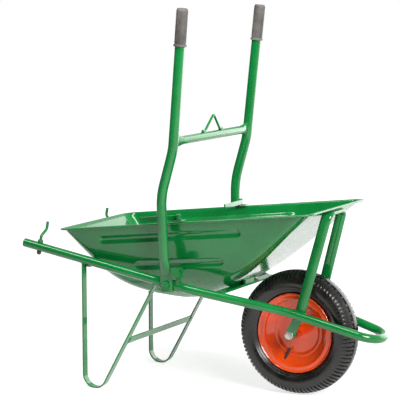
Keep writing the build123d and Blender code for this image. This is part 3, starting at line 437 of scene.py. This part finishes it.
def add_turned(shell, loop, segments, closed=True):
    """Adds a profile of radius and height turned about the Z axis."""
    rows = []
    for step in range(segments):
        angle = 2 * pi * step / segments
        rows.append([shell.verts.new((r * cos(angle), r * sin(angle), z)) for r, z in loop])
    pairs = len(loop) if closed else len(loop) - 1
    for step in range(segments):
        row, after = rows[step], rows[(step + 1) % segments]
        for index in range(pairs):
            follow = (index + 1) % len(loop)
            shell.faces.new((row[index], after[index], after[follow], row[follow]))


def settle(shell):
    """Welds coincident points and turns every face outward."""
    bmesh.ops.remove_doubles(shell, verts=shell.verts, dist=WELD_GAP)
    bmesh.ops.recalc_face_normals(shell, faces=shell.faces)
    shade_by_angle(shell)


GRIP_R, GRIP_LENGTH, GRIP_ON_TUBE = 0.0175, 0.112, 0.108
UPPER_BEND, HANDLE_TOP = (-0.0166, 0.250, 0.752), (0.0234, 0.262, 1.166)
RIDGES, RIDGE_MIDDLE = 44, 0.0575
RIDGE_TOP = (GRIP_R - 0.0001, 0.0008, 0.0965)  # radius, width and length
RIDGE_FOOT = (GRIP_R - 0.0016, 0.0017, 0.0985)
SLEEVE = [
    (0.0151, 0.0), (0.0190, 0.0), (0.0195, 0.0006), (0.0195, 0.0052), (0.0190, 0.006),
    (0.0172, 0.0064), (0.0166, 0.0072), (0.0166, 0.1075), (0.0160, 0.1100), (0.0146, 0.1116),
    (0.0130, GRIP_LENGTH), (0.0004, GRIP_LENGTH), (0.0004, 0.1082), (0.0151, 0.1081),
]
SLEEVE_SEGMENTS = 72
for name, side in (("near", -1), ("far", 1)):
    low = Vector((UPPER_BEND[0], side * UPPER_BEND[1], UPPER_BEND[2]))
    top = Vector((HANDLE_TOP[0], side * HANDLE_TOP[1], HANDLE_TOP[2]))
    along = (top - low).normalized()
    ridge = bmesh.new()
    bmesh.ops.create_cube(ridge, size=1.0)
    for vert in ridge.verts:
        radius, width, length = RIDGE_TOP if vert.co.x > 0 else RIDGE_FOOT
        vert.co = (radius, vert.co.y * width, RIDGE_MIDDLE + vert.co.z * length)
    ridges = repeated_round(ridge, RIDGES, 0.0, grip_rubber)
    shell = bmesh.new()
    shell.from_mesh(ridges)
    add_turned(shell, SLEEVE, SLEEVE_SEGMENTS)
    settle(shell)
    stand = along.to_track_quat("Z", "X").to_matrix().to_4x4()
    shell.transform(Matrix.Translation(top - along * GRIP_ON_TUBE) @ stand)
    stand_for(finish_mesh(f"{name}_grip_sleeve", shell, grip_rubber), f"{name}_grip")

# Tyre: moulded black rubber with a ribbed crown and blocky shoulders, dusted grey by use. It is
# held by the rim's flanges, over an inner tube.
tyre_rubber, tree, shader, place = new_material("tyre_rubber")
TYRE_BLACK, TYRE_DUST = (0.005, 0.0045, 0.004), (0.017, 0.0155, 0.014)
patches = add_noise(tree, place, scale=22.0, detail=6.0, roughness=0.6)
dust = add_range(tree, patches, 0.35, 0.7, 0.0, 1.0)
tree.links.new(add_mix(tree, dust, TYRE_BLACK, TYRE_DUST), shader.inputs["Base Color"])
tree.links.new(add_range(tree, dust, 0.0, 1.0, 0.2, 0.38), shader.inputs["Roughness"])
grain = add_noise(tree, place, scale=420.0, detail=4.0)
add_bump(tree, shader, grain, strength=0.12, distance=0.0006)

axle = Vector((0.281, 0.0, 0.190))
wheel_axes = Matrix.Translation(axle) @ Matrix((
    (0, 1, 0, 0), (0, 0, 1, 0), (1, 0, 0, 0), (0, 0, 0, 1),
))
TYRE_R, SHOULDER_R, RIM_R = 0.190, 0.177, 0.122
TREAD_HALF, BELLY_HALF, FOOT = 0.038, 0.047, 0.0307
TREAD_DEPTH, CENTRE_RIB, TYRE_WALL = 0.005, 0.0095, 0.007
FOOT_R, SIDEWALL_TOP = 0.1033, 0.1690
SIDE_LINES = ((0.1345, 0.0016, 0.0007), (0.163, 0.0014, 0.0005))  # radius, half width, height
UNDER_LUGS = [(0.1715, TREAD_HALF - 0.0002), (0.1745, TREAD_HALF - 0.0040)]
LUG_SKIRT = [(0.1735, 0.0416), (0.1685, 0.0447), (0.1630, 0.0462), (0.1590, 0.0464)]
LUG_SINK = (0.0060, 0.0045)  # how far a lug's foot lies under its top, inward and sideways
LUG_EDGE = 0.0005
SHORT_LUG_END = 0.0165
TYRE_SEGMENTS = 220
SLOTS = 44
pitch = 2 * pi / SLOTS
crown_r = (TREAD_HALF**2 + (TYRE_R - SHOULDER_R) ** 2) / (2 * (TYRE_R - SHOULDER_R))


def crown(y):
    """Radius of the tread's outer surface at a distance from the middle."""
    return TYRE_R - crown_r + sqrt(crown_r**2 - y**2)


def arc(first, middle, last, steps):
    """Points on the circle through three points, from the first to the last."""
    (ax, ay), (bx, by), (cx, cy) = first, middle, last
    d = 2 * (ax * (by - cy) + bx * (cy - ay) + cx * (ay - by))
    a, b, c = ax**2 + ay**2, bx**2 + by**2, cx**2 + cy**2
    x = (a * (by - cy) + b * (cy - ay) + c * (ay - by)) / d
    y = (a * (cx - bx) + b * (ax - cx) + c * (bx - ax)) / d
    radius = sqrt((ax - x) ** 2 + (ay - y) ** 2)
    start, end = atan2(ay - y, ax - x), atan2(cy - y, cx - x)
    end += 2 * pi * round((start - end) / (2 * pi))
    return [
        (x + radius * cos(start + (end - start) * step / steps),
         y + radius * sin(start + (end - start) * step / steps))
        for step in range(steps + 1)
    ]


belly_r = (RIM_R + SHOULDER_R) / 2
half_outside = [(FOOT_R, FOOT)]
for r, y in arc((RIM_R, FOOT), (belly_r, BELLY_HALF), (SHOULDER_R, TREAD_HALF), 40):
    if r < SIDEWALL_TOP:
        raised = sum(
            height * max(0, 1 - abs(r - line_r) / half) for line_r, half, height in SIDE_LINES
        )
        half_outside.append((r, y + raised))
half_outside += UNDER_LUGS
half_outside += [(crown(y) - TREAD_DEPTH, y) for y in (0.026, 0.018, CENTRE_RIB + 0.001)]
half_outside += [(crown(y), y) for y in (CENTRE_RIB, CENTRE_RIB * 0.6, CENTRE_RIB * 0.25)]
inner_shoulder = (SHOULDER_R - TYRE_WALL, TREAD_HALF - TYRE_WALL)
half_inside = [(FOOT_R, FOOT - TYRE_WALL)]
half_inside += arc(
    (RIM_R, FOOT - TYRE_WALL), (belly_r, BELLY_HALF - TYRE_WALL), inner_shoulder, 12
)
half_inside += arc(
    inner_shoulder, (TYRE_R - TYRE_WALL, 0), (inner_shoulder[0], -inner_shoulder[1]), 12
)[1:6]


def whole_loop(outside, inside):
    """Both halves of a profile that is the same on either side of the middle."""
    return (
        [(r, -y) for r, y in outside] + list(reversed(outside))
        + inside + [(r, -y) for r, y in reversed(inside)]
    )


def lug_pair(side):
    """Two shoulder blocks, the second one shorter, that fill one pitch of the tread."""
    shell = bmesh.new()
    half = 0.152 * pitch
    for centre, inner_end in ((0.27 * pitch, CENTRE_RIB + 0.002), (0.73 * pitch, SHORT_LUG_END)):
        ends = [inner_end + (TREAD_HALF - inner_end) * step / 6 for step in range(7)]
        top = [(crown(y), y) for y in ends] + LUG_SKIRT
        under = [(r - LUG_SINK[0], y - LUG_SINK[1]) for r, y in top]
        stations = ((-half, LUG_EDGE), (-half * 0.86, 0.0), (half * 0.86, 0.0), (half, LUG_EDGE))
        rows = [
            [
                shell.verts.new((
                    (r - drop) * cos(centre + angle), (r - drop) * sin(centre + angle), side * y
                ))
                for r, y in top
            ]
            for angle, drop in stations
        ]
        feet = [
            [
                shell.verts.new((r * cos(centre + angle), r * sin(centre + angle), side * y))
                for r, y in under
            ]
            for angle in (-half * 1.06, half * 1.06)
        ]
        bands = [feet[0], *rows, feet[1]]
        for band, after in zip(bands, bands[1:] + bands[:1]):
            for index in range(len(top) - 1):
                shell.faces.new((band[index], band[index + 1], after[index + 1], after[index]))
        for index in (0, len(top) - 1):
            shell.faces.new([band[index] for band in bands])
    bmesh.ops.recalc_face_normals(shell, faces=shell.faces)
    return shell


tyre_shell = bmesh.new()
for side, start in ((-1, 0.0), (1, pitch / 2)):
    tyre_shell.from_mesh(repeated_round(lug_pair(side), SLOTS, start, tyre_rubber))
add_turned(tyre_shell, whole_loop(half_outside, half_inside), TYRE_SEGMENTS)
settle(tyre_shell)
tyre_shell.transform(wheel_axes)
stand_for(finish_mesh("tyre_moulding", tyre_shell, tyre_rubber), "tyre")

# Rim: two halves pressed from sheet, riveted back to back on the hub and sprayed red. Each is
# a stepped dish with a rolled flange, and shines like the frame.
REDS = (0.80, 0.060, 0.004), (0.93, 0.092, 0.008), (0.86, 0.20, 0.07)
red_enamel = gloss_enamel("red_enamel", *REDS, haze=0.05)


def eased(points, radius, steps=5):
    """A line of points with its corners rounded off."""
    line = [Vector(points[0])]
    for before, corner, after in zip(points, points[1:], points[2:]):
        before, corner, after = Vector(before), Vector(corner), Vector(after)
        back = min(radius, (corner - before).length * 0.45)
        ahead = min(radius, (after - corner).length * 0.45)
        first = corner + (before - corner).normalized() * back
        last = corner + (after - corner).normalized() * ahead
        for step in range(steps + 1):
            share = step / steps
            line.append(first.lerp(corner, share).lerp(corner.lerp(last, share), share))
    return line + [Vector(points[-1])]


RIM_T = 0.0025
DISH_BEND_R = 0.0035
DISH_SEGMENTS = 160
dish = eased([
    (0.017, 0.0), (0.066, 0.0), (0.071, 0.005), (0.079, 0.005), (0.093, 0.015), (0.103, 0.020),
    (0.103, 0.031), (0.1175, 0.031), (0.122, 0.0355),
], DISH_BEND_R)
for node, side in (("near_rim_half", -1), ("far_rim_half", 1)):
    outside = []
    for index, point in enumerate(dish):
        run = dish[min(index + 1, len(dish) - 1)] - dish[max(index - 1, 0)]
        left = Vector((-run.y, run.x)).normalized()
        outside.append(point + left * RIM_T)
    shell = bmesh.new()
    loop = [(r, side * y) for r, y in dish + list(reversed(outside))]
    add_turned(shell, loop, DISH_SEGMENTS)
    settle(shell)
    shell.transform(wheel_axes)
    stand_for(finish_mesh(f"{node}_pressing", shell, red_enamel), node)
dress("hub", red_enamel)

# Inner tube, valve and bushes: the black rubber tube fills the tyre, its valve stands out
# through the near half of the rim, and two plastic bushes carry the hub on the axle.
for node in ("inner_tube", "valve"):
    dress(node, tyre_rubber)
bush_plastic, tree, shader, place = new_material("bush_plastic")
shader.inputs["Base Color"].default_value = (0.03, 0.03, 0.03, 1.0)
scuffs = add_noise(tree, place, scale=120.0)
tree.links.new(add_range(tree, scuffs, 0.3, 0.7, 0.4, 0.6), shader.inputs["Roughness"])
dress("hub_bushes", bush_plastic, rounding=0.0005)

# Axle set: a bolt, nut and washers of zinc-plated steel, dull and slightly stained. The spacers
# inside the hangers are painted with the frame.
zinc, tree, shader, place = new_material("zinc_plate")
ZINC_STAIN, ZINC_BRIGHT = (0.42, 0.41, 0.38), (0.68, 0.68, 0.66)
patches = add_noise(tree, place, scale=160.0, detail=5.0)
bloom = add_range(tree, patches, 0.35, 0.65, 0.0, 1.0)
tree.links.new(add_mix(tree, bloom, ZINC_STAIN, ZINC_BRIGHT), shader.inputs["Base Color"])
tree.links.new(add_range(tree, bloom, 0.0, 1.0, 0.42, 0.24), shader.inputs["Roughness"])
shader.inputs["Metallic"].default_value = 0.95
grain = add_noise(tree, place, scale=1500.0, detail=2.0)
add_bump(tree, shader, grain, strength=0.1, distance=0.0002)
for node in ("axle_bolt", "axle_nut", "axle_washers"):
    dress(node, zinc, rounding=0.0006)
dress("axle_spacers", green_enamel, rounding=0.0004)

# Pivot set and stops: bolts, washers and nuts hold the flattened tubes together and are painted
# over with the frame. A block on a web stops each handle when it stands upright.
for node in ("pivot_bolts", "pivot_nuts", "pivot_washers"):
    dress(node, green_enamel, rounding=0.0006)
for node in ("near_stop", "far_stop"):
    dress(node, green_enamel, rounding=0.0010)

# Hooks: bent painted rods that turn in the rear tube ends and hold the folded crossbar. Each is
# kept by a dark steel nut under the tube.
dark_steel, tree, shader, place = new_material("dark_steel")
STEEL_DARK, STEEL_WORN = (0.055, 0.050, 0.046), (0.13, 0.12, 0.11)
patches = add_noise(tree, place, scale=210.0, detail=5.0)
oxide = add_range(tree, patches, 0.35, 0.65, 0.0, 1.0)
tree.links.new(add_mix(tree, oxide, STEEL_DARK, STEEL_WORN), shader.inputs["Base Color"])
tree.links.new(add_range(tree, oxide, 0.0, 1.0, 0.55, 0.36), shader.inputs["Roughness"])
shader.inputs["Metallic"].default_value = 0.8
for name in ("near", "far"):
    dress(f"{name}_hook", green_enamel, rounding=0.0004)
    dress(f"{name}_hook_nut", dark_steel, rounding=0.0006)

# Rim latches: flat arms with rolled eyes that swing on headed pins over the tray's lip, all
# painted with the frame.
for name in ("near", "far"):
    dress(f"{name}_latch_pin", green_enamel, rounding=0.0006)
    dress(f"{name}_latch_arm", green_enamel, rounding=0.0008)

# Welds: rough hand-laid beads where bars and tubes meet, sprayed over with the frame. Each bead
# follows its joint and swells a little along the way.
BEAD_WIDTH, BEAD_LUMP, BEAD_STEP = 0.0034, 0.0008, 0.0012


def weld_tree():
    """A lumpy bead along every line of a mesh."""
    group = bpy.data.node_groups.new("weld_beads", "GeometryNodeTree")
    sockets = {}
    for name, kind in (
        ("Geometry", "Geometry"), ("Width", "Float"), ("Lump", "Float"), ("Material", "Material")
    ):
        sockets[name] = group.interface.new_socket(
            name, in_out="INPUT", socket_type=f"NodeSocket{kind}"
        ).identifier
    group.interface.new_socket("Geometry", in_out="OUTPUT", socket_type="NodeSocketGeometry")
    add = group.nodes.new
    inputs = add("NodeGroupInput").outputs
    curve = add("GeometryNodeMeshToCurve")
    even = add("GeometryNodeResampleCurve")
    even.mode = "LENGTH"
    even.inputs["Length"].default_value = BEAD_STEP
    circle = add("GeometryNodeCurvePrimitiveCircle")
    circle.inputs["Resolution"].default_value = 8
    halve = add("ShaderNodeMath")
    halve.operation = "MULTIPLY"
    halve.inputs[1].default_value = 0.5
    bead = add("GeometryNodeCurveToMesh")
    bead.inputs["Fill Caps"].default_value = True
    lumps = add("ShaderNodeTexNoise")
    lumps.inputs["Scale"].default_value = 320.0
    lumps.inputs["Detail"].default_value = 2.0
    centred = add("ShaderNodeVectorMath")
    centred.operation = "SUBTRACT"
    centred.inputs[1].default_value = (0.5, 0.5, 0.5)
    scaled = add("ShaderNodeVectorMath")
    scaled.operation = "SCALE"
    shift = add("GeometryNodeSetPosition")
    realize = add("GeometryNodeRealizeInstances")
    paint = add("GeometryNodeSetMaterial")
    output = add("NodeGroupOutput").inputs
    for start, end in (
        (inputs["Geometry"], curve.inputs["Mesh"]),
        (curve.outputs["Curve"], even.inputs["Curve"]),
        (inputs["Width"], halve.inputs[0]),
        (halve.outputs["Value"], circle.inputs["Radius"]),
        (even.outputs["Curve"], bead.inputs["Curve"]),
        (circle.outputs["Curve"], bead.inputs["Profile Curve"]),
        (lumps.outputs["Color"], centred.inputs[0]),
        (centred.outputs["Vector"], scaled.inputs[0]),
        (inputs["Lump"], scaled.inputs["Scale"]),
        (bead.outputs["Mesh"], shift.inputs["Geometry"]),
        (scaled.outputs["Vector"], shift.inputs["Offset"]),
        (shift.outputs["Geometry"], realize.inputs["Geometry"]),
        (realize.outputs["Geometry"], paint.inputs["Geometry"]),
        (inputs["Material"], paint.inputs["Material"]),
        (paint.outputs["Geometry"], output["Geometry"]),
    ):
        group.links.new(start, end)
    return group, sockets


weld_beads, weld_sockets = weld_tree()


def weld(name, body, lines):
    """All the beads of one body, each along a line of points."""
    paths = bmesh.new()
    for line in lines:
        verts = [paths.verts.new(point) for point in line]
        for first, second in zip(verts, verts[1:]):
            paths.edges.new((first, second))
    mesh = evaluate_tree(finish_mesh("weld_paths", paths, green_enamel), weld_beads, {
        weld_sockets["Width"]: BEAD_WIDTH,
        weld_sockets["Lump"]: BEAD_LUMP,
        weld_sockets["Material"]: green_enamel,
    })
    shell = bmesh.new()
    shell.from_mesh(mesh)
    settle(shell)
    for face in shell.faces:
        face.smooth = True
    piece = finish_mesh(name, shell, green_enamel)
    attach(piece, body)


tube_tilt = radians(10.4)
TUBE_R, TUBE_Y = 0.0135, 0.212
LEG_INNER_Y, WEB_Y = 0.201, 0.2195
POST_EDGES, SLANT_X, SLANT_EDGE = (-0.3519, -0.3463), -0.0990, 0.0035
WEB_EDGES, WEB_RISE = (-0.0245, -0.0095), 0.0165
pivot = Vector((-0.052, 0.0, 0.343))
slant = Vector((0.5555, 0.0, 0.8315))
across_slant = Vector((-slant.z, 0, slant.x))
frame_lines = []
for side in (-1, 1):
    across = [0.0095 * step / 5 for step in range(-5, 6)]
    for x in POST_EDGES:  # the upright end of each leg, under its tube
        z = pivot.z + (pivot.x - x) * tan(tube_tilt)
        frame_lines.append([
            Vector((x, side * TUBE_Y + y, z - sqrt(TUBE_R**2 - y**2) / cos(tube_tilt)))
            for y in across
        ])
    for edge in (-SLANT_EDGE, SLANT_EDGE):  # the slanted end of each leg
        shift = edge * 1.15
        z = pivot.z + (0.0470 - shift) * tan(tube_tilt)
        frame_lines.append([
            Vector((SLANT_X + shift, side * TUBE_Y + y, z - sqrt(TUBE_R**2 - y**2)))
            for y in across
        ])
    low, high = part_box("leg_brace")
    middle = (low + high) / 2
    for off in (-0.003, 0.003):  # the brace against each leg
        frame_lines.append([
            Vector((middle.x, side * 0.2012, middle.z)) + slant * t + across_slant * off
            for t in (-0.010, -0.005, 0.0, 0.005, 0.010)
        ])
    low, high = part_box("rear_bar")
    for z in (low.z + 0.001, high.z - 0.0005):  # the rear bar against each leg's post
        frame_lines.append([
            Vector((low.x + 0.022 * t, side * LEG_INNER_Y, z)) for t in (0.05, 0.3, 0.6, 0.9)
        ])
    low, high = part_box("front_bar")
    for x in (low.x - 0.0005, high.x + 0.0005):  # the front bar on each tube
        frame_lines.append([
            Vector((x, side * (high.y - 0.004 - 0.0035 * t), high.z - 0.0055 + 0.003 * t))
            for t in (-1.0, -0.3, 0.4, 1.0)
        ])
    for x in WEB_EDGES:  # the stop's web on the squashed tube
        z = pivot.z + (pivot.x - x) * tan(tube_tilt) + WEB_RISE
        frame_lines.append([
            Vector((x, side * WEB_Y + y, z)) for y in (-0.005, -0.0025, 0.0, 0.0025, 0.005)
        ])
    frame_lines.append([  # the stay inside each front tube
        Vector((axle.x + x, side * (0.0775 - 0.07 * (x - 0.03)), 0.2685 - 0.268 * (x - 0.03)))
        for x in (0.016, 0.021, 0.027, 0.033, 0.039, 0.044)
    ])
weld("frame_welds", "frame", frame_lines)

handle_lines = []
HANDLE_R, FLARE_HALF, FLARE_THIN = 0.0150, 0.0205, 0.0072
RING_STEPS = 32
bar = Vector((-0.0142, 0.0, 0.777))
up_handle = Vector((0.0962, 0.0, 0.9954))
beside = Vector((0.9954, 0.0, -0.0962))
for side in (-1, 1):
    ring = []
    for step in range(RING_STEPS + 1):  # the crossbar's flared end, on the round of the handle
        angle = 2 * pi * step / RING_STEPS
        up, out = FLARE_HALF * cos(angle), FLARE_THIN * sin(angle)
        y = side * (0.25072 + 0.029 * up - sqrt(HANDLE_R**2 - out**2) - 0.0004)
        ring.append(bar + up_handle * up + beside * out + Vector((0, y, 0)))
    handle_lines.append(ring)
    for edge in (-0.0042, 0.0042):  # the rope eye's feet
        handle_lines.append([
            bar + up_handle * 0.0130 + beside * edge + Vector((0, side * y, 0))
            for y in (0.052, 0.056, 0.060, 0.064)
        ])
weld("handle_welds", "handles", handle_lines)

# Studio: a seamless white sweep in a white room that is darker to one side, lit by broad
# soft boxes, and seen from ahead and to one side with a long lens a little above the tray.
FLOOR_SIZE = 14.0
FLOOR_NEAR, FLOOR_FAR, NEAR_GLOW = 1.2, 4.0, 0.72
DARK_SIDE = (-0.55, -0.83, 0.0)
ROOM_AS_LIGHT = 0.28  # the room as a light, against how bright it looks


def seen_directly(tree):
    """One for rays from the camera, and for what glossy or clear surfaces show."""
    path = tree.nodes.new("ShaderNodeLightPath")
    total = path.outputs["Is Camera Ray"]
    for name in ("Is Glossy Ray", "Is Transmission Ray"):
        join = tree.nodes.new("ShaderNodeMath")
        join.operation = "MAXIMUM"
        tree.links.new(total, join.inputs[0])
        tree.links.new(path.outputs[name], join.inputs[1])
        total = join.outputs["Value"]
    return total


def room_light(tree, direction):
    """How bright the room looks in a direction: white, but dark to the left of the camera."""
    unit = tree.nodes.new("ShaderNodeVectorMath")
    unit.operation = "NORMALIZE"
    tree.links.new(direction, unit.inputs[0])
    toward = tree.nodes.new("ShaderNodeVectorMath")
    toward.operation = "DOT_PRODUCT"
    toward.inputs[1].default_value = DARK_SIDE
    tree.links.new(unit.outputs["Vector"], toward.inputs[0])
    return add_range(tree, toward.outputs["Value"], -0.95, 0.3, 1.0, 0.08)


def add_choice(tree, factor, first, second):
    """Blends two strengths, each a number or another node's output."""
    node = tree.nodes.new("ShaderNodeMix")
    tree.links.new(factor, node.inputs["Factor"])
    for socket, value in ((node.inputs["A"], first), (node.inputs["B"], second)):
        if isinstance(value, float):
            socket.default_value = value
        else:
            tree.links.new(value, socket)
    return node.outputs["Result"]


floor_shell = bmesh.new()
bmesh.ops.create_grid(floor_shell, x_segments=1, y_segments=1, size=FLOOR_SIZE)
white_sweep, tree, shader, place = new_material("white_sweep")
shader.inputs["Base Color"].default_value = (0.55, 0.55, 0.545, 1.0)
shader.inputs["Roughness"].default_value = 0.9
shader.inputs["Specular IOR Level"].default_value = 0.0
shader.inputs["Emission Color"].default_value = (1.0, 1.0, 1.0, 1.0)
away = tree.nodes.new("ShaderNodeVectorMath")
away.operation = "LENGTH"
tree.links.new(place, away.inputs[0])
far_off = add_range(tree, away.outputs["Value"], FLOOR_NEAR, FLOOR_FAR, 0.0, 1.0)
glossy_ray = tree.nodes.new("ShaderNodeLightPath").outputs["Is Glossy Ray"]
far_glow = add_choice(tree, glossy_ray, 1.0, room_light(tree, place))
glow = add_choice(tree, far_off, NEAR_GLOW, far_glow)
tree.links.new(
    add_choice(tree, seen_directly(tree), 0.0, glow), shader.inputs["Emission Strength"]
)
floor = finish_mesh("floor", floor_shell, white_sweep)

world = bpy.data.worlds.new("studio_white")
bpy.context.scene.world = world
world.use_nodes = True
tree = world.node_tree
background = tree.nodes["Background"]
background.inputs["Color"].default_value = (1.0, 1.0, 1.0, 1.0)
room = room_light(tree, tree.nodes.new("ShaderNodeTexCoord").outputs["Generated"])
plain = tree.nodes.new("ShaderNodeMath")
plain.operation = "MULTIPLY"
plain.inputs[1].default_value = ROOM_AS_LIGHT
tree.links.new(room, plain.inputs[0])
glossy_ray = tree.nodes.new("ShaderNodeLightPath").outputs["Is Glossy Ray"]
shown = add_choice(tree, seen_directly(tree), plain.outputs["Value"], 1.0)
tree.links.new(add_choice(tree, glossy_ray, shown, room), background.inputs["Strength"])


def soft_box(name, place, target, size, power):
    """A broad area lamp that faces a point."""
    lamp = bpy.data.lights.new(name, "AREA")
    lamp.shape = "RECTANGLE"
    lamp.size, lamp.size_y = size
    lamp.energy = power
    box = bpy.data.objects.new(name, lamp)
    box.location = place
    box.rotation_euler = (Vector(target) - Vector(place)).to_track_quat("-Z", "Y").to_euler()
    bpy.context.scene.collection.objects.link(box)


soft_box("key_box", (3.1, -2.0, 2.4), (0, 0, 0.5), (1.8, 1.8), 175)
soft_box("back_panel", (1.8, 3.6, 1.4), (0, 0, 0.6), (4.6, 2.8), 105)
soft_box("top_strip", (-0.3, -1.1, 3.1), (-0.3, 0, 0.4), (2.8, 0.7), 75)

lens = bpy.data.cameras.new("long_lens")
lens.sensor_width = 36.0
lens.lens = 171.3
lens.clip_end = 60.0
camera = bpy.data.objects.new("camera", lens)
camera.location = (2.623, -5.190, 1.299)
camera.rotation_euler = (radians(90 - 7.08), radians(0.2), radians(27.28))
bpy.context.scene.collection.objects.link(camera)
bpy.context.scene.camera = camera
bpy.context.scene.view_settings.view_transform = "Standard"
